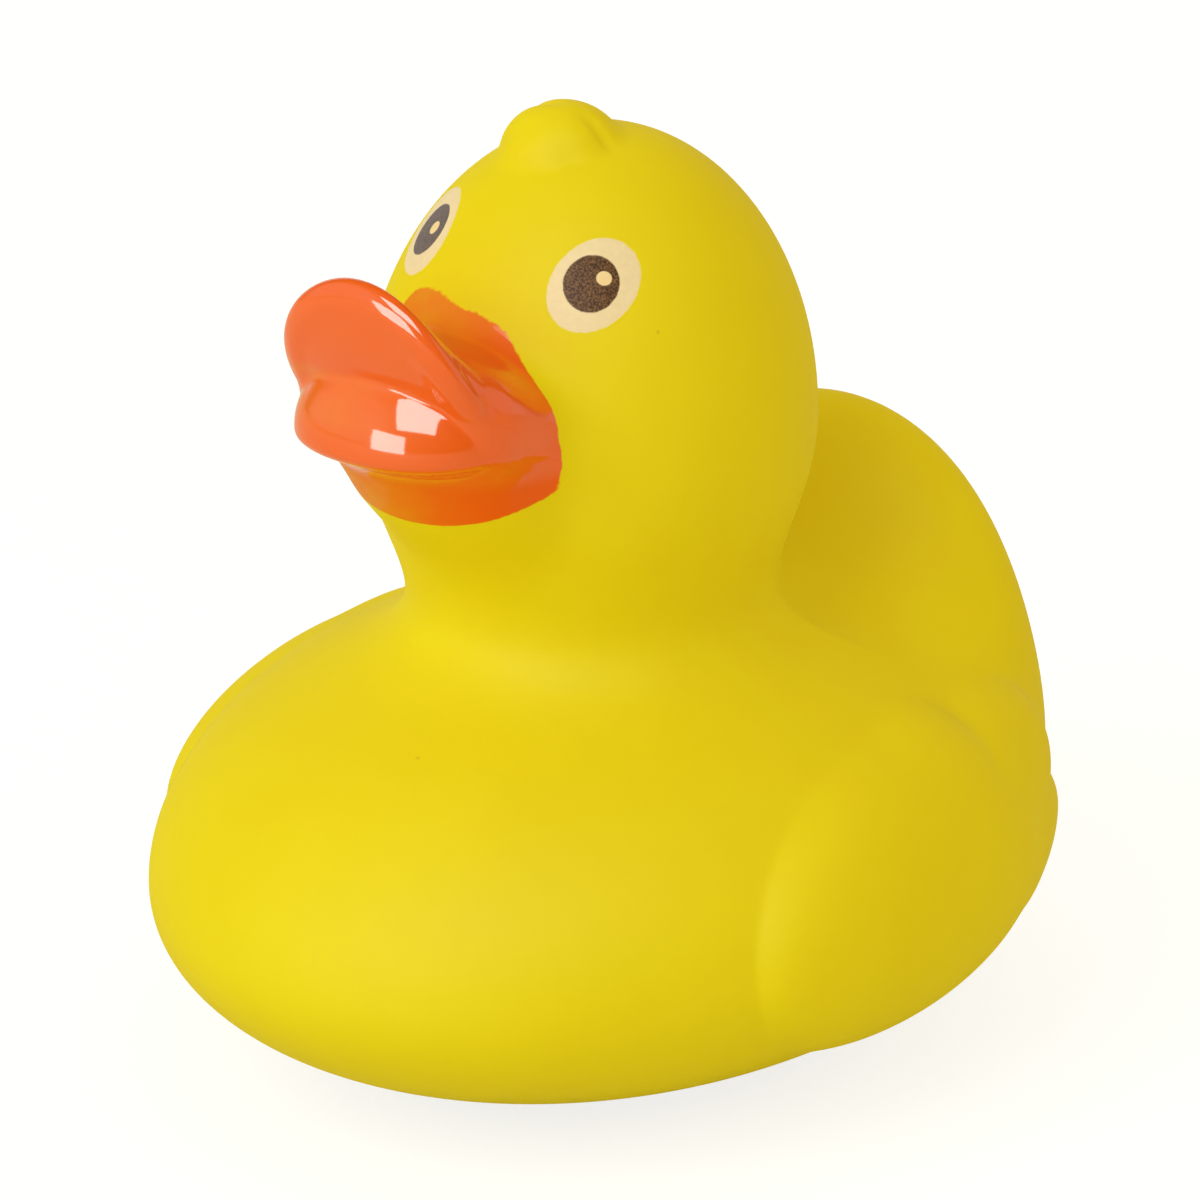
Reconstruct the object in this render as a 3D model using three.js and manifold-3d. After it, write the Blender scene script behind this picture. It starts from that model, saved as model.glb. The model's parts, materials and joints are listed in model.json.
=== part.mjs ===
import * as THREE from 'three';
import { mergeVertices } from 'three/addons/utils/BufferGeometryUtils.js';
import Module from 'manifold-3d';

// Bath duck, one hollow vinyl moulding. Millimetres, +Z up, the bill points to -Y.

// Body: an egg lying on its side
const BODY_HALF_WIDTH = 31.5;
const BREAST_LENGTH = 39.3;
const RUMP_LENGTH = 36.1;
const BODY_MID_HEIGHT = 15.2;
const BELLY_DEPTH = 15.8;
const BACK_RISE = 19.2;

// Tail: a broad leaning paddle that grows out of the rump
const TAIL_BACK = 28.3;
const TAIL_HEIGHT = 25.0;
const TAIL_HALF_WIDTH = 16.8;
const TAIL_FRONT_THICKNESS = 8.0;
const TAIL_REAR_THICKNESS = 7.8;
const TAIL_HALF_LENGTH = 17.3;
const TAIL_LEAN = THREE.MathUtils.degToRad(10);
const TAIL_FILLET = 14.0;

// Wings: pads raised on the flanks, each with three blunt feathers
const WING_RELIEF = 1.0;
const WING_EDGE = 1.6;
const WING_MARGIN = 0.5;
const WING_SOFTNESS = 0.5;
const WING_FILLET = 1.4;
const FLANK_START = 8;
const FLANK_WIDTH = 8;
const WING_PAD = { back: 0.0, up: 16.6, long: 18.0, tall: 10.6, turn: 0.04 };
const WING_FEATHERS = [
  { back: 7.0, up: 23.2, long: 6.6, tall: 5.0, turn: -0.1 },
  { back: 17.8, up: 21.6, long: 7.6, tall: 4.9, turn: -0.1 },
  { back: 18.3, up: 14.4, long: 9.0, tall: 5.0, turn: 0.08 },
];

// Head: an egg, point up, on a short neck
const HEAD_FORWARD = 1.5;
const HEAD_HEIGHT = 49.3;
const HEAD_HALF_WIDTH = 16.4;
const FACE_DEPTH = 18.5;
const NAPE_DEPTH = 18.0;
const CROWN_RISE = 22.6;
const CHEEK_DROP = 17.2;
const NECK_FILLET = 11.0;

// Upper bill: a turned-up flare with a shallow dish in its face. Its rim sweeps back towards the corners
// of the mouth, and behind the rim it narrows into the muzzle.
const FLARE_HEIGHT = 57.2;
const FLARE_HALF_WIDTH = 8.6;
const FLARE_RISE = 10.2;
const FLARE_BULGE = 1.8;
const FLARE_SQUARENESS = 2.0;
const RIM_FORWARD = 29.35;
const RIM_RUN = 10.8;
const RIM_SWEEP = 4.08;
const SWEEP_END = 1.4;
const RIM_SQUARENESS = 2.8;
const RIM_THICKNESS = 0.6;
const DISH_DEPTH = 0.3;
const DISH_SHARE = 0.88;
const DISH_EDGE = 0.2;
const SCOOP_LENGTH = 1.9;
const MUZZLE_HALF_WIDTH = 9.0;
const MUZZLE_RISE = 6.6;
const MUZZLE_DROP = 4.2;
const MUZZLE_LENGTH = 14.0;
const MUZZLE_SLOPE = 0.95;
const MUZZLE_SQUARENESS = 2.8;
const BILL_FILLET = 3.6;

// Lower bill: a fat lip under the flare, with a narrow lower edge; the corners of the mouth are softer
const LIP_FORWARD = 23.5;
const LIP_HEIGHT = 54.5;
const LIP_HALF_WIDTH = 8.6;
const LIP_REACH = 7.35;
const LIP_RISE = 6.7;
const LIP_DROP = 1.8;
const LIP_SQUARENESS = 2.3;
const LIP_TOP_SQUARENESS = 2.0;
const LIP_EDGE_SQUARENESS = 2.6;
const MOUTH_FILLET = 0.8;
const CORNER_FORWARD = 27.5;
const CORNER_LENGTH = 4.5;
const CORNER_FILLET = 3.0;

// Chin: a slope from under the lip back to the neck
const CHIN_FORWARD = 19.3;
const CHIN_HEIGHT = 49.6;
const CHIN_LEAN = THREE.MathUtils.degToRad(44);
const CHIN_HALF_WIDTH = 8.2;
const CHIN_DEPTH = 4.8;
const CHIN_HALF_LENGTH = 9.0;
const CHIN_FILLET = 3.0;

// Crest: a low knob on the crown, with two grooves down each side that part three curls
const CREST_FORWARD = 5.2;
const CREST_HEIGHT = 69.8;
const CREST_HALF_WIDTH = 3.9;
const CREST_HALF_LENGTH = 6.4;
const CREST_RISE = 5.0;
const CREST_FILLET = 1.4;
const CREST_GROOVES = [
  { forward: 6.9, depth: 0.20 },
  { forward: 2.9, depth: 0.30 },
];
const GROOVE_SLANT = 0.1;
const GROOVE_START = 2.2;
const GROOVE_WIDTH = 0.55;

// Skin mesh: a ball shrunk onto the duck, with points closer together in the fine places
const BALL_RADIUS = 50;
const BALL_HEIGHT = 36;
const FIRST_BANDS = 5;
const RELAX_ROUNDS = [240, 120, 50];
const SWAP_EVERY = 4;
const LARGEST_PULL = 3;
const SLIDE = 0.7;
const SHARPEN_ROUNDS = 12;
const SHARPEN_RUN = 4;
const LARGEST_SHARPEN = 0.6;
const HOLD = 0.05;
const BILL_REACH = 5;
const CREST_REACH = 3;
const WING_REACH = 1.6;
const NECK_REACH = 4;
const NECK_CLOSENESS = 3;
const BILL_CLOSENESS = 20;
const CREST_CLOSENESS = 24;
const WING_CLOSENESS = 9;

const { abs, cos, exp, max, min, sin, sqrt } = Math;

// Union with a rounded meeting line
function blend(a, b, width) {
  const h = max(width - abs(a - b), 0) / width;
  return min(a, b) - h * h * width / 4;
}

// Distance to an egg whose radii differ before and behind, below and above. Powers over 2 square it:
// one for its outline across z, one for its sections along z.
function squareEgg(x, y, z, plan, upright, wide, before, behind, below, above) {
  const b = y < 0 ? before : behind;
  const c = z < 0 ? below : above;
  const u = abs(x) / wide;
  const v = abs(y) / b;
  const w = abs(z) / c;
  const k = plan - 1;
  const q = upright - 1;
  const ring = (u ** plan + v ** plan) ** (1 / plan) + 1e-9;
  const level = (ring ** upright + w ** upright) ** (1 / upright);
  const flat = ((u ** k / wide) ** 2 + (v ** k / b) ** 2) * (ring ** (q - k)) ** 2;
  const slope = sqrt(flat + (w ** q / c) ** 2) / level ** q + 1e-9;
  return (level - 1) / slope;
}

function egg(x, y, z, ...radii) {
  return squareEgg(x, y, z, 2, 2, ...radii);
}

// The place of a point in a frame that leans forward by an angle
function lean(y, z, angle) {
  const c = cos(angle);
  const s = sin(angle);
  return [c * y + s * z, c * z - s * y];
}

// Eases from 0 to 1
function smooth(t) {
  const clamped = min(max(t, 0), 1);
  return clamped * clamped * (3 - 2 * clamped);
}

// Side-view distance to a turned oval of the wing
function oval(y, z, shape) {
  const [across, along] = lean(y - shape.back, z - shape.up, shape.turn);
  return egg(0, across, along, 1, shape.long, shape.long, shape.tall, shape.tall);
}

function wingOutline(y, z) {
  const pad = oval(y, z, WING_PAD);
  return WING_FEATHERS.reduce((d, feather) => blend(d, oval(y, z, feather), WING_FILLET), pad);
}

function wingHeight(x, y, z) {
  const flank = smooth((abs(x) - FLANK_START) / FLANK_WIDTH);
  const within = WING_MARGIN - wingOutline(y, z);
  const inside = (within + sqrt(within * within + WING_SOFTNESS * WING_SOFTNESS)) / 2;
  return WING_RELIEF * flank * (1 - exp(-inside / WING_EDGE));
}

function bodyAt(x, y, z) {
  const hull = egg(x, y, z - BODY_MID_HEIGHT, BODY_HALF_WIDTH, BREAST_LENGTH, RUMP_LENGTH,
    BELLY_DEPTH, BACK_RISE);
  const [across, along] = lean(y - TAIL_BACK, z - TAIL_HEIGHT, -TAIL_LEAN);
  const tail = egg(x, across, along, TAIL_HALF_WIDTH, TAIL_FRONT_THICKNESS, TAIL_REAR_THICKNESS,
    TAIL_HALF_LENGTH, TAIL_HALF_LENGTH);
  return blend(hull, tail, TAIL_FILLET) - wingHeight(x, y, z);
}

// From the rim back, the section sinks and squares from the flare's oval to the muzzle's
function flareAt(x, y, z) {
  const along = z - FLARE_HEIGHT;
  const under = min(max(1 - along / RIM_RUN, 0), SWEEP_END);
  const steep = 2 * RIM_SWEEP * under / RIM_RUN;
  const across = (y + RIM_FORWARD - RIM_SWEEP * under * under) / sqrt(1 + steep * steep);
  const back = max(across, 0);
  const fade = exp(-max(back - RIM_THICKNESS, 0) / SCOOP_LENGTH);
  const wide = MUZZLE_HALF_WIDTH + (FLARE_HALF_WIDTH - MUZZLE_HALF_WIDTH) * fade;
  const above = MUZZLE_RISE + (FLARE_RISE - MUZZLE_RISE) * fade;
  const up = along + MUZZLE_SLOPE * back;
  const power = MUZZLE_SQUARENESS + (FLARE_SQUARENESS - MUZZLE_SQUARENESS) * fade;
  const ring = sqrt((x / FLARE_HALF_WIDTH) ** 2 + (along / FLARE_RISE) ** 2);
  const dish = DISH_DEPTH * smooth((DISH_SHARE - ring) / DISH_EDGE);
  const trumpet = squareEgg(x, up, min(across - dish, 0), power, RIM_SQUARENESS, wide, MUZZLE_DROP, above,
    FLARE_BULGE, FLARE_BULGE);
  return max(trumpet, across - MUZZLE_LENGTH);
}

function billAt(x, y, z) {
  const upright = z < LIP_HEIGHT ? LIP_EDGE_SQUARENESS : LIP_TOP_SQUARENESS;
  const lip = squareEgg(x, y + LIP_FORWARD, z - LIP_HEIGHT, LIP_SQUARENESS, upright,
    LIP_HALF_WIDTH, LIP_REACH, LIP_REACH, LIP_DROP, LIP_RISE);
  const corner = CORNER_FILLET * smooth((y + CORNER_FORWARD) / CORNER_LENGTH);
  return blend(flareAt(x, y, z), lip, MOUTH_FILLET + corner);
}

function crestAt(x, y, z) {
  const knob = egg(x, y + CREST_FORWARD, z - CREST_HEIGHT, CREST_HALF_WIDTH, CREST_HALF_LENGTH,
    CREST_HALF_LENGTH, CREST_RISE, CREST_RISE);
  const side = smooth(abs(x) / GROOVE_START);
  return CREST_GROOVES.reduce((d, groove) => {
    const off = (y + groove.forward - GROOVE_SLANT * abs(x)) / GROOVE_WIDTH;
    return d + groove.depth * side * exp(-off * off);
  }, knob);
}

function headAt(x, y, z) {
  const skull = egg(x, y + HEAD_FORWARD, z - HEAD_HEIGHT, HEAD_HALF_WIDTH, FACE_DEPTH, NAPE_DEPTH,
    CHEEK_DROP, CROWN_RISE);
  const [across, along] = lean(y + CHIN_FORWARD, z - CHIN_HEIGHT, CHIN_LEAN);
  const chin = egg(x, across, along, CHIN_HALF_WIDTH, CHIN_DEPTH, CHIN_DEPTH,
    CHIN_HALF_LENGTH, CHIN_HALF_LENGTH);
  const face = blend(blend(skull, chin, CHIN_FILLET), billAt(x, y, z), BILL_FILLET);
  return blend(face, crestAt(x, y, z), CREST_FILLET);
}

// Signed distance from a point to the duck's skin
function duckAt(x, y, z) {
  return blend(bodyAt(x, y, z), headAt(x, y, z), NECK_FILLET);
}

const STEP = 0.02;

function slopeAt(x, y, z, out) {
  const e = STEP;
  const a = duckAt(x + e, y - e, z - e);
  const b = duckAt(x - e, y - e, z + e);
  const c = duckAt(x - e, y + e, z - e);
  const d = duckAt(x + e, y + e, z + e);
  const value = (a + b + c + d) / 4;
  return [value, out.set(a - b - c + d, -a - b + c + d, -a + b - c + d).divideScalar(4 * e)];
}

// How much closer the points of the skin lie, by place
function closeness(p) {
  const { x, y, z } = p;
  const bill = exp(-((max(billAt(x, y, z), 0) / BILL_REACH) ** 2));
  const crest = exp(-((max(crestAt(x, y, z), 0) / CREST_REACH) ** 2));
  const edge = exp(-((wingOutline(y, z) / WING_REACH) ** 2)) * (abs(x) > FLANK_START ? 1 : 0);
  const neck = exp(-(((abs(bodyAt(x, y, z)) + abs(headAt(x, y, z))) / NECK_REACH) ** 2));
  return 1 + BILL_CLOSENESS * bill + CREST_CLOSENESS * crest + WING_CLOSENESS * edge
    + NECK_CLOSENESS * neck;
}

// Every side split in two: one triangle becomes four
function refine(points, faces) {
  const middle = new Map();
  const grown = points.map((p) => p.clone());
  const half = (i, j) => {
    const key = i < j ? `${i} ${j}` : `${j} ${i}`;
    if (!middle.has(key)) {
      middle.set(key, grown.length);
      grown.push(points[i].clone().add(points[j]).multiplyScalar(0.5));
    }
    return middle.get(key);
  };
  const split = faces.flatMap(([a, b, c]) => {
    const ab = half(a, b);
    const bc = half(b, c);
    const ca = half(c, a);
    return [[a, ab, ca], [ab, b, bc], [ca, bc, c], [ab, bc, ca]];
  });
  return [grown, split];
}

// The shared side of two triangles swaps to their other diagonal where that makes them less slender
function swapSides(points, faces) {
  const key = (a, b) => a * points.length + b;
  const owner = new Map();
  faces.forEach((face, i) => face.forEach((a, k) => owner.set(key(a, face[(k + 1) % 3]), i)));
  const u = new THREE.Vector3();
  const v = new THREE.Vector3();
  const cotangent = (tip, a, b) => {
    u.subVectors(points[a], points[tip]);
    v.subVectors(points[b], points[tip]);
    const along = u.dot(v);
    return along / (u.cross(v).length() + 1e-12);
  };
  const normal = (a, b, c) => {
    u.subVectors(points[b], points[a]);
    v.subVectors(points[c], points[a]);
    return u.cross(v).normalize().clone();
  };
  for (let first = 0; first < faces.length; first += 1) {
    for (let k = 0; k < 3; k += 1) {
      const [a, b, c] = [0, 1, 2].map((turn) => faces[first][(k + turn) % 3]);
      const second = owner.get(key(b, a));
      const d = faces[second].find((w) => w !== a && w !== b);
      if (owner.has(key(c, d)) || owner.has(key(d, c))) continue;
      if (cotangent(c, a, b) + cotangent(d, a, b) > -1e-6) continue;
      const facing = normal(a, b, c).add(normal(b, a, d));
      if (normal(a, d, c).dot(facing) < 0.4 || normal(d, b, c).dot(facing) < 0.4) continue;
      faces[first] = [a, d, c];
      faces[second] = [d, b, c];
      owner.delete(key(a, b));
      owner.delete(key(b, a));
      owner.set(key(a, d), first).set(key(d, c), first).set(key(c, a), first);
      owner.set(key(d, b), second).set(key(b, c), second).set(key(c, d), second);
      break;
    }
  }
}

// A point drops onto the skin
function toSkin(p, slope) {
  for (let k = 0; k < 5; k += 1) {
    const [value, normal] = slopeAt(p.x, p.y, p.z, slope);
    p.addScaledVector(normal, -value / max(normal.lengthSq(), 0.05));
  }
}

// Points slide along the skin to the middle of their own neighbourhood, then back onto the skin
function settle(points, faces, rounds) {
  let ring = [];
  const slope = new THREE.Vector3();
  const drift = new THREE.Vector3();
  const u = new THREE.Vector3();
  const v = new THREE.Vector3();
  const centre = faces.map(() => new THREE.Vector3());
  const weight = new Float64Array(faces.length);
  for (let round = 0; round < rounds; round += 1) {
    if (round % SWAP_EVERY === 0) {
      swapSides(points, faces);
      ring = points.map(() => []);
      faces.forEach((face, i) => face.forEach((w) => ring[w].push(i)));
    }
    faces.forEach(([a, b, c], i) => {
      centre[i].copy(points[a]).add(points[b]).add(points[c]).divideScalar(3);
      u.subVectors(points[b], points[a]);
      v.subVectors(points[c], points[a]);
      weight[i] = u.cross(v).length() * closeness(centre[i]) + 1e-9;
    });
    points.forEach((p, i) => {
      drift.set(0, 0, 0);
      let total = 0;
      ring[i].forEach((f) => {
        drift.addScaledVector(centre[f], weight[f]);
        total += weight[f];
      });
      drift.divideScalar(total).sub(p);
      const [value, normal] = slopeAt(p.x, p.y, p.z, slope);
      const steep = max(normal.lengthSq(), 0.05);
      drift.addScaledVector(normal, -drift.dot(normal) / steep);
      const pull = min(max(value, -LARGEST_PULL), LARGEST_PULL) / steep;
      p.addScaledVector(drift, SLIDE).addScaledVector(normal, -pull);
    });
  }
  points.forEach((p) => toSkin(p, slope));
}

// Each point moves to where the planes of the skin around it meet, so rims and creases stay sharp
function sharpen(points, faces) {
  const sums = points.map(() => ({ n: new Array(9).fill(0), b: new THREE.Vector3() }));
  const slope = new THREE.Vector3();
  const centre = new THREE.Vector3();
  faces.forEach((face) => {
    centre.set(0, 0, 0);
    face.forEach((w) => centre.addScaledVector(points[w], 1 / 3));
    toSkin(centre, slope);
    slope.normalize();
    const n = slope.toArray();
    const along = slope.dot(centre);
    face.forEach((w) => {
      sums[w].b.addScaledVector(slope, along);
      n.forEach((a, i) => n.forEach((c, j) => {
        sums[w].n[3 * i + j] += a * c;
      }));
    });
  });
  points.forEach((p, w) => {
    const { n, b } = sums[w];
    [0, 4, 8].forEach((i) => {
      n[i] += HOLD;
    });
    b.addScaledVector(p, HOLD).applyMatrix3(new THREE.Matrix3().set(...n).invert());
    p.add(b.sub(p).clampLength(0, LARGEST_SHARPEN));
    toSkin(p, slope);
  });
}

function skin() {
  const ball = new THREE.IcosahedronGeometry(1, FIRST_BANDS);
  ball.deleteAttribute('normal');
  ball.deleteAttribute('uv');
  const shell = mergeVertices(ball, 1e-5);
  const place = shell.getAttribute('position');
  const index = shell.getIndex();
  let points = [];
  for (let i = 0; i < place.count; i += 1) {
    const p = new THREE.Vector3().fromBufferAttribute(place, i);
    points.push(p.multiplyScalar(BALL_RADIUS).add(new THREE.Vector3(0, 0, BALL_HEIGHT)));
  }
  let faces = [];
  for (let i = 0; i < index.count; i += 3) {
    faces.push([index.getX(i), index.getX(i + 1), index.getX(i + 2)]);
  }
  RELAX_ROUNDS.forEach((rounds, level) => {
    if (level > 0) [points, faces] = refine(points, faces);
    settle(points, faces, rounds);
  });
  for (let round = 0; round < SHARPEN_ROUNDS; round += 1) {
    if (round % SHARPEN_RUN === 0) settle(points, faces, SHARPEN_RUN);
    sharpen(points, faces);
  }
  return [points, faces];
}

const wasm = await Module();
wasm.setup();

function solid(positions, triangles) {
  const vertProperties = Float32Array.from(positions);
  const triVerts = Uint32Array.from(triangles);
  return new wasm.Manifold(new wasm.Mesh({ numProp: 3, vertProperties, triVerts }));
}

function solidFromGeometry(geometry) {
  const bare = geometry.clone();
  bare.deleteAttribute('normal');
  bare.deleteAttribute('uv');
  const merged = mergeVertices(bare, 1e-4);
  return solid(merged.getAttribute('position').array, merged.getIndex().array);
}

const [points, faces] = skin();
const moulding = solid(points.flatMap((p) => [p.x, p.y, p.z]), faces.flat());
const floorSide = 4 * BALL_RADIUS;
const floorBlock = solidFromGeometry(
  new THREE.BoxGeometry(floorSide, floorSide, floorSide).translate(0, 0, -floorSide / 2),
);
const duckMesh = moulding.subtract(floorBlock).getMesh();

const geometry = new THREE.BufferGeometry();
const corners = Float32Array.from(duckMesh.vertProperties);
geometry.setAttribute('position', new THREE.BufferAttribute(corners, 3));
geometry.setIndex(new THREE.BufferAttribute(Uint32Array.from(duckMesh.triVerts), 1));
geometry.computeBoundingBox();
const middle = geometry.boundingBox.getCenter(new THREE.Vector3());
geometry.translate(-middle.x, -middle.y, 0);
geometry.computeVertexNormals();

const vinyl = new THREE.MeshStandardMaterial({ color: 0xe6cc1e, roughness: 0.55, metalness: 0 });
const duck = new THREE.Mesh(geometry, vinyl);
duck.name = 'duck';

const group = new THREE.Group();
group.name = 'squishy_toy_duck';
group.add(duck);

export default group;
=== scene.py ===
# %% [markdown]
# A soft bath duck
#
# The real thing is one hollow moulding in yellow vinyl. Its bill is painted a glossy orange,
# and its eyes are printed on. The CAD part gives its size and its form, with a light mesh and
# no finish. The script lays a finer skin on that form, and then gives it its vinyl, its paint
# and its print.

import json
import math
from types import SimpleNamespace

import bmesh
import bpy
import numpy as np
from mathutils import Matrix, Vector

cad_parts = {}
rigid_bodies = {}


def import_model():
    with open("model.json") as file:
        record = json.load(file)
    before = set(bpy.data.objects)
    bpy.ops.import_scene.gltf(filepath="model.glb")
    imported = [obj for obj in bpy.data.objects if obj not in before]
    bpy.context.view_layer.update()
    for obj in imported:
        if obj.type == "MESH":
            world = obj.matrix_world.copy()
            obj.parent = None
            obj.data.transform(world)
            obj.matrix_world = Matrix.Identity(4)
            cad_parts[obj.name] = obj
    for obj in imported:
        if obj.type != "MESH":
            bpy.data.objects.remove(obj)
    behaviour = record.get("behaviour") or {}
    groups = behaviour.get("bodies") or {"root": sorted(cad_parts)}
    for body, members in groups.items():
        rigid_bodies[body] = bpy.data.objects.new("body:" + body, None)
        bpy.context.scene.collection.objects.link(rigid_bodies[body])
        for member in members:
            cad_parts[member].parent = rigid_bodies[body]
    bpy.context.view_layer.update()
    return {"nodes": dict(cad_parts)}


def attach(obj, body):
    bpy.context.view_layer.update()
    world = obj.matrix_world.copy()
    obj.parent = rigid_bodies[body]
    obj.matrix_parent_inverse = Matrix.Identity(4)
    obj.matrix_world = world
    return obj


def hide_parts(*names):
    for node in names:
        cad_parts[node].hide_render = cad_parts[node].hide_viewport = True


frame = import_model()
MM = 0.001


# %% [markdown]
# The camera
#
# The duck is seen from its front left and from a little above, through a long lens that hardly
# bends its outline. A camera can be placed by eye, or worked out from the object's outline.
# Here it is worked out: it looks at a point in the duck's neck from 600 mm away, and a small
# lens shift puts the duck where it stands in the frame.

# %% Make the camera
FRONT_SHIFT = 0.233  # how far the centred part stands behind the form's own middle, in mm
NECK_HEIGHT = 40  # in mm
AZIMUTH = math.radians(36.5)
ELEVATION = math.radians(20.03)
DISTANCE = 600  # in mm
SENSOR = 36
FRAME_PX = 1200
PX_PER_MM = 13.264
CENTRE_PX = (603.7, 526.6)

toward_camera = Vector((
    math.sin(AZIMUTH) * math.cos(ELEVATION),
    -math.cos(AZIMUTH) * math.cos(ELEVATION),
    math.sin(ELEVATION),
))
camera_right = Vector((math.cos(AZIMUTH), math.sin(AZIMUTH), 0))
camera_up = toward_camera.cross(camera_right)
look_at = Vector((0, FRONT_SHIFT, NECK_HEIGHT)) * MM

lens = bpy.data.cameras.new("camera")
camera = bpy.data.objects.new("camera", lens)
bpy.context.scene.collection.objects.link(camera)
turn = Matrix((camera_right, camera_up, toward_camera)).transposed().to_4x4()
camera.matrix_world = Matrix.Translation(look_at + toward_camera * DISTANCE * MM) @ turn
lens.sensor_width = SENSOR
lens.lens = SENSOR * PX_PER_MM * DISTANCE / FRAME_PX
lens.shift_x = (FRAME_PX / 2 - CENTRE_PX[0]) / FRAME_PX
lens.shift_y = (CENTRE_PX[1] - FRAME_PX / 2) / FRAME_PX
lens.clip_start = 0.01
bpy.context.scene.camera = camera
print("lens", round(lens.lens, 1), "mm, shift", round(lens.shift_x, 4), round(lens.shift_y, 4))

# %% [markdown]
# The form of the moulding
#
# The CAD part is made of eggs that run into each other with soft fillets: a lying egg for the
# body, one for the tail, one for the head, and smaller ones for the bill, chin and crest. Its
# mesh has to stay light, so close up its edges are coarse. A Subdivision Surface modifier would
# make it smoother, but it would also melt the mouth and the wings. So the same eggs are written
# down here, and a finer mesh is laid on them. Most sizes are the part's own. The mouth and the
# edges of the wings are crisper, which only a fine mesh can show. The wings stand out a little
# more, from a body that is a little narrower, and the crest is shorter, lower and off the middle.

# %% Sizes of the moulding, in mm
size = SimpleNamespace(
    body=dict(wide=31.25, before=39.3, behind=36.1, below=15.8, above=19.2), body_height=15.2,
    tail=dict(wide=16.8, before=8.0, behind=7.8, below=17.3, above=17.3),
    tail_at=(28.3, 25.0), tail_lean=math.radians(-10), tail_fillet=14.0,
    head=dict(wide=16.4, before=18.5, behind=18.0, below=17.2, above=22.6),
    head_at=(-1.5, 49.3), neck_fillet=11.0,
    chin=dict(wide=8.2, before=4.8, behind=4.8, below=9.0, above=9.0),
    chin_at=(-19.3, 49.6), chin_lean=math.radians(44), chin_fillet=3.0,
    flare_height=57.2, flare_wide=8.6, flare_rise=10.2, flare_bulge=1.8, flare_square=2.0,
    rim_front=-29.35, rim_run=10.8, rim_sweep=4.08, sweep_end=1.4, rim_square=2.8, rim_thick=0.6,
    dish=0.3, dish_share=0.88, dish_edge=0.2, scoop=1.9,
    muzzle_wide=9.0, muzzle_rise=6.6, muzzle_drop=4.2, muzzle_long=14.0, muzzle_slope=0.95,
    muzzle_square=2.8, bill_fillet=3.6,
    lip=dict(wide=8.6, before=7.35, behind=7.35, below=1.8, above=6.7), lip_at=(-23.5, 54.5),
    lip_square=2.3, lip_top_square=2.0, lip_edge_square=2.6,
    mouth_fillet=0.5, corner_start=-27.5, corner_long=4.5, corner_fillet=3.0,
    crest=dict(wide=4.6, before=4.7, behind=5.0, below=4.1, above=4.1),
    crest_at=(-3.7, 70.0), crest_side=-1.2, crest_fillet=0.8,
    # the place and the depth of each groove
    grooves=((-7.2, 0.16), (-4.0, 0.28)), groove_slant=0.1, groove_start=2.6, groove_wide=0.6,
    wing_relief=1.5, wing_edge=1.2, wing_margin=0.5, wing_soft=0.25, wing_fillet=1.4,
    flank_start=8.0, flank_wide=8.0,
    # the pad and the feathers of a wing: how far back and up, how long and tall, and their turn
    wing=((0.0, 16.6, 18.0, 10.6, 0.04), (7.0, 23.2, 6.6, 5.0, -0.1),
          (17.8, 21.6, 7.6, 4.9, -0.1), (18.3, 14.4, 9.0, 5.0, 0.08)),
)
print("the wing is a pad and", len(size.wing) - 1, "feathers;",
      len(size.grooves), "grooves on the crest")

# %% Eggs and how they join
TINY = 1e-9  # keeps a division by zero away


def blend(a, b, width):
    """Two forms become one, with a fillet where they meet."""
    near = np.maximum(width - np.abs(a - b), 0) / width
    return np.minimum(a, b) - near * near * width / 4


def egg(x, y, z, wide, before, behind, below, above, plan=2, upright=2):
    """How far a point is outside an egg; powers over 2 square its outline or its sections."""
    b = np.where(y < 0, before, behind)
    c = np.where(z < 0, below, above)
    u, v, w = np.abs(x) / wide, np.abs(y) / b, np.abs(z) / c
    k, q = plan - 1, upright - 1
    ring = (u ** plan + v ** plan) ** (1 / plan) + TINY
    level = (ring ** upright + w ** upright) ** (1 / upright)
    flat = ((u ** k / wide) ** 2 + (v ** k / b) ** 2) * (ring ** (q - k)) ** 2
    slope = np.sqrt(flat + (w ** q / c) ** 2) / level ** q
    return (level - 1) / (slope + TINY)


def lean(y, z, place, angle=0.0):
    """A point seen from a place that leans forward."""
    y, z = y - place[0], z - place[1]
    return math.cos(angle) * y + math.sin(angle) * z, math.cos(angle) * z - math.sin(angle) * y


def ease(t):
    """Goes softly from 0 to 1."""
    t = np.clip(t, 0, 1)
    return t * t * (3 - 2 * t)


print("10 mm from the middle of a 6 mm ball is", round(float(egg(10, 0, 0, 6, 6, 6, 6, 6)), 2),
      "mm outside it")

# %% Body, tail and wings
def wing_outline(y, z):
    """How far a point is outside the wing, seen from the side."""
    near = None
    for back, up, long, tall, turned in size.wing:
        across, along = lean(y, z, (back, up), turned)
        feather = egg(0 * y, across, along, 1, long, long, tall, tall)
        near = feather if near is None else blend(near, feather, size.wing_fillet)
    return near


def body_form(x, y, z):
    """Body and tail, with a wing raised on each flank."""
    hull = egg(x, y, z - size.body_height, **size.body)
    tail = egg(x, *lean(y, z, size.tail_at, size.tail_lean), **size.tail)
    flank = ease((np.abs(x) - size.flank_start) / size.flank_wide)
    within = size.wing_margin - wing_outline(y, z)
    inside = (within + np.sqrt(within ** 2 + size.wing_soft ** 2)) / 2
    wing = size.wing_relief * flank * (1 - np.exp(-inside / size.wing_edge))
    return blend(hull, tail, size.tail_fillet) - wing


print("body egg:", size.body["before"] + size.body["behind"], "mm long")

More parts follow.
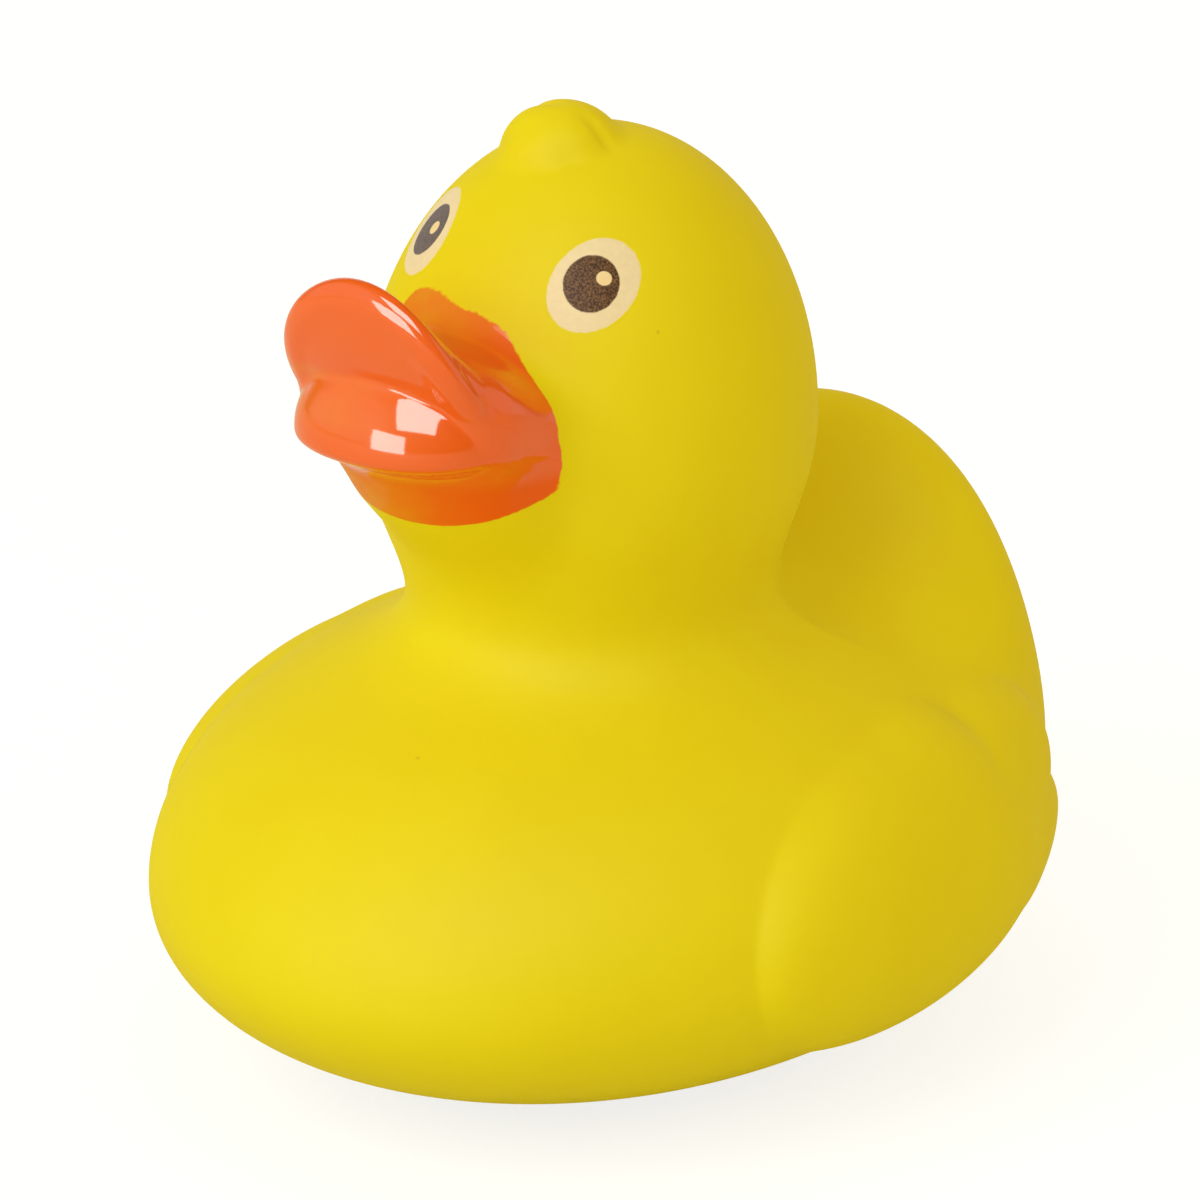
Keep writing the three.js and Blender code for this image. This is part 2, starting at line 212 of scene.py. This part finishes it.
# %% Head, bill and crest
def bill_form(x, y, z):
    """A flared upper bill with a swept rim and a shallow dish, and a lower lip."""
    along = z - size.flare_height
    under = np.clip(1 - along / size.rim_run, 0, size.sweep_end)
    steep = 2 * size.rim_sweep * under / size.rim_run
    across = (y - size.rim_front - size.rim_sweep * under ** 2) / np.sqrt(1 + steep ** 2)
    back = np.maximum(across, 0)
    fade = np.exp(-np.maximum(back - size.rim_thick, 0) / size.scoop)
    wide = size.muzzle_wide + (size.flare_wide - size.muzzle_wide) * fade
    above = size.muzzle_rise + (size.flare_rise - size.muzzle_rise) * fade
    up = along + size.muzzle_slope * back
    power = size.muzzle_square + (size.flare_square - size.muzzle_square) * fade
    ring = np.sqrt((x / size.flare_wide) ** 2 + (along / size.flare_rise) ** 2)
    dish = size.dish * ease((size.dish_share - ring) / size.dish_edge)
    flare = egg(x, up, np.minimum(across - dish, 0), wide, size.muzzle_drop, above,
                size.flare_bulge, size.flare_bulge, power, size.rim_square)
    flare = np.maximum(flare, across - size.muzzle_long)
    upright = np.where(z < size.lip_at[1], size.lip_edge_square, size.lip_top_square)
    lip = egg(x, *lean(y, z, size.lip_at), **size.lip, plan=size.lip_square, upright=upright)
    corner = size.corner_fillet * ease((y - size.corner_start) / size.corner_long)
    return blend(flare, lip, size.mouth_fillet + corner)


def crest_form(x, y, z):
    """A small knob with grooves on its sides."""
    knob = egg(x - size.crest_side, *lean(y, z, size.crest_at), **size.crest)
    side = ease(np.abs(x) / size.groove_start)
    for place, depth in size.grooves:
        off = (y - place - size.groove_slant * np.abs(x)) / size.groove_wide
        knob = knob + depth * side * np.exp(-off * off)
    return knob


def duck_form(x, y, z):
    """How far a point is outside the whole duck."""
    skull = egg(x, *lean(y, z, size.head_at), **size.head)
    chin = egg(x, *lean(y, z, size.chin_at, size.chin_lean), **size.chin)
    head = blend(blend(skull, chin, size.chin_fillet), bill_form(x, y, z), size.bill_fillet)
    head = blend(head, crest_form(x, y, z), size.crest_fillet)
    return blend(body_form(x, y, z), head, size.neck_fillet)


in_body = np.array([[0.0], [0.0], [size.body_height]])
print("form in the middle of the body:", round(float(duck_form(*in_body)[0]), 1), "mm")

# %% [markdown]
# A finer skin
#
# A copy of the CAD mesh is merged, because it comes as loose triangles, and each of its triangles
# is split into sixteen. The new points still lie on the flat triangles, so each one drops onto
# the form along its slope. Last, the points near a sharp line, such as the mouth or the rim of
# the bill, move to where the surfaces around them meet. The foot stays flat on the floor.

# %% Split the copy's triangles
SAME_POINT = 1e-6  # in metres
SPLITS = 2

skin = bmesh.new()
skin.from_mesh(frame["nodes"]["duck"].data)
bmesh.ops.remove_doubles(skin, verts=skin.verts, dist=SAME_POINT)
for _ in range(SPLITS):
    bmesh.ops.subdivide_edges(skin, edges=skin.edges, cuts=1, use_grid_fill=True)
bmesh.ops.triangulate(skin, faces=[f for f in skin.faces if len(f.verts) > 3])
print("fine skin:", len(skin.verts), "points,", len(skin.faces), "triangles")

# %% How points drop and sharpen
def slope_of(p, step=0.02):
    """The form's value and slope at points, in mm."""
    corners = step * np.array([(1, -1, -1), (-1, -1, 1), (-1, 1, -1), (1, 1, 1)])
    value = [duck_form(*(p + corner).T) for corner in corners]
    return sum(value) / 4, sum(np.outer(v, c) for v, c in zip(value, corners)) / (4 * step * step)


def drop(p, rounds=6, stride=1, flattest=0.05):
    """Points drop onto the form, by no more than a stride in each round."""
    for _ in range(rounds):
        value, slope = slope_of(p)
        steep = np.maximum((slope ** 2).sum(1), flattest)
        p = p - slope * (np.clip(value, -stride, stride) / steep)[:, None]
    return p


def sharpen(p, faces, hold=0.05, largest=0.2, rounds=3, still=1e-12):
    """Points move to where the planes of the skin around them meet."""
    centre = drop(p[faces].mean(1), rounds)
    normal = slope_of(centre)[1]
    normal /= np.linalg.norm(normal, axis=1)[:, None]
    square = np.einsum("fi,fj->fij", normal, normal)
    along = normal * (normal * centre).sum(1)[:, None]
    left = np.zeros((len(p), 3, 3)) + hold * np.eye(3)
    right = hold * p
    for corner in faces.T:
        np.add.at(left, corner, square)
        np.add.at(right, corner, along)
    move = np.linalg.solve(left, right[:, :, None])[:, :, 0] - p
    length = np.linalg.norm(move, axis=1)[:, None] + still
    return drop(p + move * np.minimum(1, largest / length), rounds)


print("slope in the middle of the body:", np.round(slope_of(in_body.T + 1)[1][0], 2))

# %% Lay the points on the form
SHARPEN_ROUNDS = 2
FOOT_LEVEL = 1e-3  # in mm

middle = np.array([0, FRONT_SHIFT, 0])
start = np.array([v.co for v in skin.verts]) / MM
skin.verts.index_update()
corners = np.array([[v.index for v in f.verts] for f in skin.faces])
laid = drop(start - middle)
for _ in range(SHARPEN_ROUNDS):
    laid = sharpen(laid, corners)
laid += middle
on_foot = start[:, 2] < FOOT_LEVEL
laid[on_foot] = start[on_foot]
laid[:, 2] = np.maximum(laid[:, 2], 0)
for vert, point in zip(skin.verts, laid):
    vert.co = point * MM
for face in skin.faces:
    face.smooth = True
print("largest move:", round(float(np.linalg.norm(laid - start, axis=1).max()), 2), "mm")

# %% Make the duck
duck_mesh = bpy.data.meshes.new("duck_skin")
skin.to_mesh(duck_mesh)
skin.free()
duck = bpy.data.objects.new("duck_skin", duck_mesh)
bpy.context.scene.collection.objects.link(duck)
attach(duck, "root")
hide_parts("duck")
print("duck:", len(duck_mesh.polygons), "triangles")

# %% [markdown]
# A small tool for finishes
#
# A finish is a graph of nodes. Written out one by one, the nodes hide what they work out. So a
# socket is wrapped in a small class: plus, minus and the other signs on it add Math nodes, and
# any other node comes from one method, which sets the node up and then fills its sockets.

# %% The socket wrapper
class Wire:
    """A node's output that takes part in Python sums."""

    def __init__(self, tree, socket=None):
        self.tree, self.socket = tree, socket

    def node(self, kind, settings=None, output=0, **sockets):
        """A new node: settings first, then socket values or links; s3=... means socket number 3."""
        made = self.tree.nodes.new(kind)
        for name, value in (settings or {}).items():
            setattr(made, name, value)
        for name, value in sockets.items():
            numbered = name[0] == "s" and name[1:].isdigit()
            target = made.inputs[int(name[1:]) if numbered else name.replace("_", " ")]
            if isinstance(value, Wire):
                self.tree.links.new(value.socket, target)
            else:
                target.default_value = value
        return Wire(self.tree, made.outputs[output]) if len(made.outputs) else None

    def pick(self, output):
        """Another output of the same node."""
        return Wire(self.tree, self.socket.node.outputs[output])

    def math(self, operation, *values):
        return self.node("ShaderNodeMath", {"operation": operation},
                         **{f"s{i}": v for i, v in enumerate(values)})

    def __add__(self, other):
        return self.math("ADD", self, other)

    def __radd__(self, other):
        return self.math("ADD", other, self)

    def __sub__(self, other):
        return self.math("SUBTRACT", self, other)

    def __rsub__(self, other):
        return self.math("SUBTRACT", other, self)

    def __mul__(self, other):
        return self.math("MULTIPLY", self, other)

    __rmul__ = __mul__

    def __truediv__(self, other):
        return self.math("DIVIDE", self, other)

    def __pow__(self, other):
        return self.math("POWER", self, other)

    def most(self, other):
        return self.math("MAXIMUM", self, other)

    def least(self, other):
        return self.math("MINIMUM", self, other)

    def ramp(self, low, high):
        """Eases from 0 at low to 1 at high."""
        return self.node("ShaderNodeMapRange", {"interpolation_type": "SMOOTHSTEP"},
                         s0=self, s1=low, s2=high, s3=0.0, s4=1.0)

    def between(self, a, b):
        """A colour between two others, by this share."""
        return self.node("ShaderNodeMix", {"data_type": "RGBA"}, output=2, s0=self, s6=a, s7=b)

    def vector(self, operation, other, output="Vector"):
        """Vector maths with another place or direction."""
        return self.node("ShaderNodeVectorMath", {"operation": operation}, output=output,
                         s0=self, s1=tuple(other))

    def noise(self, scale, detail=2.0, roughness=0.5):
        """Cloudy noise over a place, about 0.5 on average; its clouds are 1 / scale wide."""
        return self.node("ShaderNodeTexNoise", Vector=self, Scale=scale, Detail=detail,
                         Roughness=roughness)


print("the socket wrapper knows:", [name for name in vars(Wire) if name[0] != "_"])

# %% Start the duck's finish
def empty_tree(owner):
    """The cleared nodes of a material or a world, as a wire to make the first ones from."""
    owner.use_nodes = True
    owner.node_tree.nodes.clear()
    return Wire(owner.node_tree)


def colour(red, green, blue):
    """A colour as it shows on a screen, 0 to 255, as the shader wants it."""
    def linear(c):
        c /= 255
        return c / 12.92 if c <= 0.04045 else ((c + 0.055) / 1.055) ** 2.4
    return (linear(red), linear(green), linear(blue), 1.0)


def share(mask, a, b):
    """A value that goes from a to b by a mask."""
    return mask * (b - a) + a


finish = bpy.data.materials.new("duck_finish")
metres = empty_tree(finish).node("ShaderNodeTexCoord", output="Object")
place = metres.node("ShaderNodeVectorMath", {"operation": "SCALE"}, s0=metres, s3=1 / MM)
along_axes = place.node("ShaderNodeSeparateXYZ", s0=place)
px, py, pz = (along_axes.pick(axis) for axis in "XYZ")
print("finish starts from a place on the duck, in mm")

# %% [markdown]
# Where the orange goes
#
# The bill is sprayed through a mask, so the orange ends in a line round the muzzle, with small
# teeth where a little paint crept under the mask. The line could be painted on a texture by
# hand, but worked out from places on the duck it stays sharp close up. Above the chin, all that
# stands in front of a sheet is orange. The sheet leans back over the muzzle, further on the
# duck's right, and bends back a little at the chin. Below it, the orange ends in half an oval,
# seen from the front. Noise moves both lines a little.

# %% Paint outline
SHEET = dict(front=-18.2, brow=-16.75, leans=(56.6, 61.2))
RIGHT_LEAN = dict(back=1.45, across=(0.5, -6.0), up=(57.0, 61.0))
CHIN_BEND = dict(back=0.4, down=(54.5, 51.5))
CHIN = dict(middle=-0.6, height=50.85, half_wide=9.9, drop=3.5, face=(-11.0, -12.0))
SHEET_EDGE = 0.08  # half the width of the paint's soft edge, in mm
OVAL_EDGE = 0.008  # the same as a share of the oval
JOIN_EDGE = 0.02  # half the height over which the sheet hands over to the oval, in mm
TEETH_MM, SWAY_MM = 0.3, 0.2  # how far fine and wide noise move the line
OVAL_SWAY = 0.1  # how much of that moves the oval

creep = place.noise(1.8, 3.0, 0.6) - 0.5
waves = place.noise(0.4, 2.0) - 0.5
ragged = creep * TEETH_MM + waves * SWAY_MM
sheet = share(pz.ramp(*SHEET["leans"]), SHEET["front"], SHEET["brow"])
right_lean = px.ramp(*RIGHT_LEAN["across"]) * pz.ramp(*RIGHT_LEAN["up"]) * RIGHT_LEAN["back"]
sheet = sheet + right_lean + pz.ramp(*CHIN_BEND["down"]) * CHIN_BEND["back"]
in_front = (py - sheet + ragged).ramp(SHEET_EDGE, -SHEET_EDGE)

chin_deep = ((CHIN["height"] - pz) / CHIN["drop"]).most(0.0)
chin_wide = (px - CHIN["middle"]) / CHIN["half_wide"]
chin_out = (chin_wide ** 2.0 + chin_deep ** 2.0) ** 0.5 + ragged * OVAL_SWAY
in_oval = chin_out.ramp(1 + OVAL_EDGE, 1 - OVAL_EDGE) * py.ramp(*CHIN["face"])

above_chin = pz.ramp(CHIN["height"] - JOIN_EDGE, CHIN["height"] + JOIN_EDGE)
painted = in_front * above_chin + in_oval * (1.0 - above_chin)
print("paint: in front of y", SHEET["front"], "mm, and under the chin down to z",
      round(CHIN["height"] - CHIN["drop"], 2), "mm")

# %% [markdown]
# Where the eyes go
#
# Each eye is three prints on top of each other: a cream oval that leans back, a dark brown pupil
# and a small light dot. They could be thin discs on the head, but a print has no thickness. It is
# pressed on straight, so each eye has a flat frame of its own on the head, and its ovals are
# drawn in that frame. The two eyes were not pressed at quite the same height, so each has its
# own place.

# %% Eye frames and ovals
def eye_frame(at, facing):
    """Distance along an eye's two axes, and out from its frame, in mm."""
    facing = Vector(facing).normalized()
    level = Vector((0, 0, 1)).cross(facing).normalized()
    upward = facing.cross(level)
    off = place.vector("SUBTRACT", at)
    return [off.vector("DOT_PRODUCT", axis, "Value") for axis in (level, upward, facing)]


def oval(level, upward, at, radii, angle):
    """How far out of a leaning oval a point is; 1 on its line."""
    c, s = math.cos(angle), math.sin(angle)
    along = ((level - at[0]) * c + (upward - at[1]) * s) / radii[0]
    across = ((upward - at[1]) * c - (level - at[0]) * s) / radii[1]
    return (along ** 2.0 + across ** 2.0) ** 0.5


PRESS_DEPTH = (-4.0, -3.5)  # how far behind its frame a print still reaches the head, in mm
INK_SWAY = 0.05  # how far noise moves an oval's line, as a share of the oval
ink_edge = (place.noise(2.5, 2.0) - 0.5) * INK_SWAY


def eye_prints(at, facing, side):
    """Where one eye's cream, brown and dot are printed."""
    level, upward, out = eye_frame(at, facing)
    pressed = out.ramp(*PRESS_DEPTH)
    ovals = (  # middle and radii in mm, lean, and how soft the line is
        ((0, 0), (3.97, 3.02), math.radians(90 - side * 45), 0.02),
        ((side * -0.2, 0.06), (2.23, 2.03), math.radians(90 - side * 34), 0.03),
        ((0.75, 0.4), (0.58, 0.55), 0, 0.08),
    )
    return [(oval(level, upward, centre, radii, angle) + ink_edge).ramp(1 + soft, 1 - soft) * pressed
            for centre, radii, angle, soft in ovals]


print("prints reach", -PRESS_DEPTH[0], "mm behind their frames")

# %% Eye prints
EYES = (
    dict(at=(8.1, -11.86, 64.04), facing=(0.58, -0.58, 0.57), side=1),
    dict(at=(-7.3, -11.4, 65.2), facing=(-0.58, -0.58, 0.57), side=-1),
)
left_eye, right_eye = (eye_prints(**eye) for eye in EYES)
on_eye, pupil, dot = (a.most(b) for a, b in zip(left_eye, right_eye))
# the right eye's pupil: where a painted grey-blue reflection of the pale room goes
far_eye_painted_sheen = right_eye[1]
print("eyes at", [eye["at"] for eye in EYES])

# %% [markdown]
# Vinyl, paint and print
#
# Soft vinyl is satin: it has no mirror, only a wide soft sheen, with a fine grain and a small
# dark speck or two. The paint on the bill is a thick gloss, which the Principled shader's coat
# gives. It has the slight waves of sprayed paint, and it is thin in the hollow behind the rim and
# under the chin, where the yellow shows through. The print on the eyes is thin and satin, and
# its dark brown is grainy. On the right eye the brown is mixed with grey-blue, a painted
# reflection of the pale room seen at a grazing angle. Three shaders could be mixed, but one
# shader whose colour, roughness, coat and bump change from place to place is simpler, and
# exports as one finish.

# %% Where the paint is thin
HOLLOW = dict(up=(58.5, 61.0), back=(-27.0, -24.0))
UNDER_CHIN = (52.0, 50.5)
LIP_TOP = dict(below=(60.0, 59.0), above=(55.0, 57.0), front=(-26.5, -28.0))
SPRAYED_SIDE = (-4.0, 7.0)
LIP_THIN, THIN_SHARE, THIN_WAVES = 0.3, 0.7, 1.5

hollow = pz.ramp(*HOLLOW["up"]) * py.ramp(*HOLLOW["back"])
under = pz.ramp(*UNDER_CHIN)
lip_top = pz.ramp(*LIP_TOP["below"]) * pz.ramp(*LIP_TOP["above"]) * py.ramp(*LIP_TOP["front"])
sprayed = px.ramp(*SPRAYED_SIDE)
thin = hollow.most(under).most(lip_top * LIP_THIN) * (1.0 - sprayed) * (waves * THIN_WAVES + 1.0)
print("paint is thin above", HOLLOW["up"][0], "mm and below", UNDER_CHIN[0], "mm")

# %% Colours
SPECKS = (((1.86, -25.18, 29.79), 0.24), ((12.15, -9.56, 60.56), 0.2))
SPECK_SHARE = 0.22
# how far the right pupil's brown turns to a painted grey-blue reflection
FAR_EYE_SHEEN_SHARE = 0.4

clouds = place.noise(0.06, 3.0)
yellow = clouds.ramp(0.3, 0.7).between(colour(229, 212, 8), colour(232, 216, 12))
through = (thin * THIN_SHARE).least(1.0).most(0.0)
orange = through.between(colour(237, 98, 4), colour(228, 150, 6))
cream = creep.ramp(-0.3, 0.3).between(colour(240, 224, 186), colour(234, 217, 177))
ink_grain = place.noise(6.0, 3.0, 0.7).ramp(0.38, 0.68)
brown = ink_grain.between(colour(58, 35, 17), colour(136, 98, 58))
# brown ink, and on the right pupil a painted grey-blue reflection of the pale room
ink_and_painted_sheen = (far_eye_painted_sheen * FAR_EYE_SHEEN_SHARE).between(brown, colour(128, 134, 152))
# the print's colours; on the right pupil they carry the painted reflection too
printed = dot.between(pupil.between(cream, ink_and_painted_sheen), colour(240, 216, 166))
skin_colour = on_eye.between(painted.between(yellow, orange), printed)
for at, radius in SPECKS:
    far = place.vector("DISTANCE", at, "Value")
    speck = far.ramp(radius, radius / 2) * SPECK_SHARE
    skin_colour = speck.between(skin_colour, colour(150, 118, 20))
print("colours: yellow vinyl, orange paint, cream and brown print,", len(SPECKS), "specks")

# %% Finish
VINYL_ROUGH, PRINT_ROUGH, ROUGH_CHANGE = 0.62, 0.45, 0.12
DULL_WHERE_THIN = 0.85
GRAIN_MM, PAINT_MM, WAVES_MM, CREEP_MM = 0.003, 0.02, 0.05, 0.008

grain = place.noise(4.0, 3.0, 0.7) - 0.5
gloss = painted * (1.0 - on_eye) * (1.0 - hollow.most(under) * DULL_WHERE_THIN)
roughness = share(on_eye, (clouds - 0.5) * ROUGH_CHANGE + VINYL_ROUGH, PRINT_ROUGH)
paint_height = waves * WAVES_MM + creep * CREEP_MM + PAINT_MM
height = (1.0 - painted) * grain * GRAIN_MM + painted * paint_height
relief = height.node("ShaderNodeBump", Strength=1.0, Distance=MM, Height=height)
shader = relief.node(
    "ShaderNodeBsdfPrincipled", Base_Color=skin_colour, Roughness=roughness, IOR=1.18,
    Coat_Weight=gloss, Coat_Roughness=0.08, Coat_IOR=1.5, Normal=relief,
)
shader.node("ShaderNodeOutputMaterial", Surface=shader)
duck_mesh.materials.clear()
duck_mesh.materials.append(finish)
print("finish:", len(finish.node_tree.nodes), "nodes")

# %% [markdown]
# The floor
#
# The duck stands on white card, which keeps a pale shadow. A card that is only lit would look
# grey here, and more light would bleach the duck. So the camera sees a card that glows a little,
# with a weak matt share that takes the shadow. Light that bounces up to the duck sees a plain
# white card.

# %% Floor
FLOOR_REACH = 3.0
FLOOR_DROP = 0.0002  # keeps the floor clear of the foot, in metres

floor_mesh = bpy.data.meshes.new("floor")
ground = bmesh.new()
bmesh.ops.create_grid(ground, x_segments=1, y_segments=1, size=FLOOR_REACH)
ground.to_mesh(floor_mesh)
ground.free()
floor = bpy.data.objects.new("floor", floor_mesh)
bpy.context.scene.collection.objects.link(floor)
floor.location.z = -FLOOR_DROP

pale = bpy.data.materials.new("pale_floor")
floor_seen = empty_tree(pale).node("ShaderNodeLightPath", output="Is Camera Ray")
card = floor_seen.node("ShaderNodeBsdfDiffuse", Color=(0.86, 0.86, 0.86, 1))
shade = floor_seen.node("ShaderNodeBsdfDiffuse", Color=(0.28, 0.3, 0.33, 1))
glow = floor_seen.node("ShaderNodeEmission", Color=(1, 1, 1, 1), Strength=0.8)
bright = shade.node("ShaderNodeAddShader", s0=shade, s1=glow)
shown = floor_seen.node("ShaderNodeMixShader", s0=floor_seen, s1=card, s2=bright)
shown.node("ShaderNodeOutputMaterial", Surface=shown)
floor_mesh.materials.append(pale)
print("floor:", floor_mesh.name)

# %% [markdown]
# The room
#
# The room lights the duck from all round. A white world would do that, but vinyl takes light in
# and gives it back warmer, so the light on matt surfaces is warm. The camera sees plain white
# behind the duck. Glossy paint mirrors what stands round it, and all white would hide its form,
# so in reflections the room is dark, with a pale wall at the front left, a white card at the
# back right, and the white backdrop.

# %% Room
ROOM_LIGHT = 0.81
ROOM_DARK = 0.02
WALL_LIGHT = CARD_LIGHT = 0.8
WALL_EDGE, CARD_EDGE, BACKDROP_EDGE = (0.7, 0.95), (0.85, 0.95), (-0.5, -0.88)
WARM, WHITE = (1.0, 0.83, 0.55, 1), (1, 1, 1, 1)
LEFT_FRONT = Vector((-0.72, -0.62, 0.3)).normalized()
RIGHT_BACK = Vector((0.75, 0.62, 0.2)).normalized()

room = bpy.data.worlds.new("room")
bpy.context.scene.world = room
ray = empty_tree(room).node("ShaderNodeLightPath")
seen = ray.pick("Is Camera Ray")
in_mirror = ray.pick("Is Glossy Ray").most(ray.pick("Is Transmission Ray"))
heading = ray.node("ShaderNodeTexCoord", output="Generated")
white_card = heading.vector("DOT_PRODUCT", RIGHT_BACK, "Value").ramp(*CARD_EDGE) * CARD_LIGHT
pale_wall = heading.vector("DOT_PRODUCT", LEFT_FRONT, "Value").ramp(*WALL_EDGE) * WALL_LIGHT
backdrop = heading.vector("DOT_PRODUCT", toward_camera, "Value").ramp(*BACKDROP_EDGE)
reflected = white_card.most(pale_wall).most(backdrop) + ROOM_DARK
room_light = share(seen, share(in_mirror, ROOM_LIGHT, reflected), 1.0)
tint = seen.most(in_mirror).between(WARM, WHITE)
background = room_light.node("ShaderNodeBackground", Color=tint, Strength=room_light)
background.node("ShaderNodeOutputWorld", Surface=background)
print("room light", ROOM_LIGHT)

# %% [markdown]
# The lamps
#
# The light comes mostly from a window in front of the duck. One lamp could both light the vinyl
# and show in the paint, but then a highlight that is bright enough bleaches the breast. So a
# wide soft wall gives the light and shows in no reflection, and two panes show on the lip and
# light nothing else.

# %% Lamps
def lamp(name, toward, distance, size_mm, power, tint=(1, 1, 1), diffuse=True, glossy=True):
    """A flat lamp that faces the duck's neck."""
    light = bpy.data.lights.new(name, "AREA")
    light.shape = "RECTANGLE"
    light.size, light.size_y = (s * MM for s in size_mm)
    light.energy = power
    light.color = tint
    made = bpy.data.objects.new(name, light)
    bpy.context.scene.collection.objects.link(made)
    toward = Vector(toward).normalized()
    made.matrix_world = (Matrix.Translation(look_at + toward * distance * MM)
                         @ toward.to_track_quat("Z", "Y").to_matrix().to_4x4())
    made.visible_diffuse, made.visible_glossy = diffuse, glossy


lamp("soft_wall", toward=(-0.12, -0.82, 0.56), distance=750, size_mm=(600, 500), power=2.2,
     tint=(0.84, 1, 0.98), glossy=False)
lamp("upper_pane", toward=(0.265, -0.656, 0.707), distance=620, size_mm=(480, 380), power=7.0,
     diffuse=False)
lamp("lower_pane", toward=(-0.104, -0.986, 0.13), distance=620, size_mm=(330, 260), power=3.2,
     diffuse=False)

bpy.context.scene.view_settings.view_transform = "Standard"

# %% [markdown]
# The size
#
# A finer skin is no reason for another size.
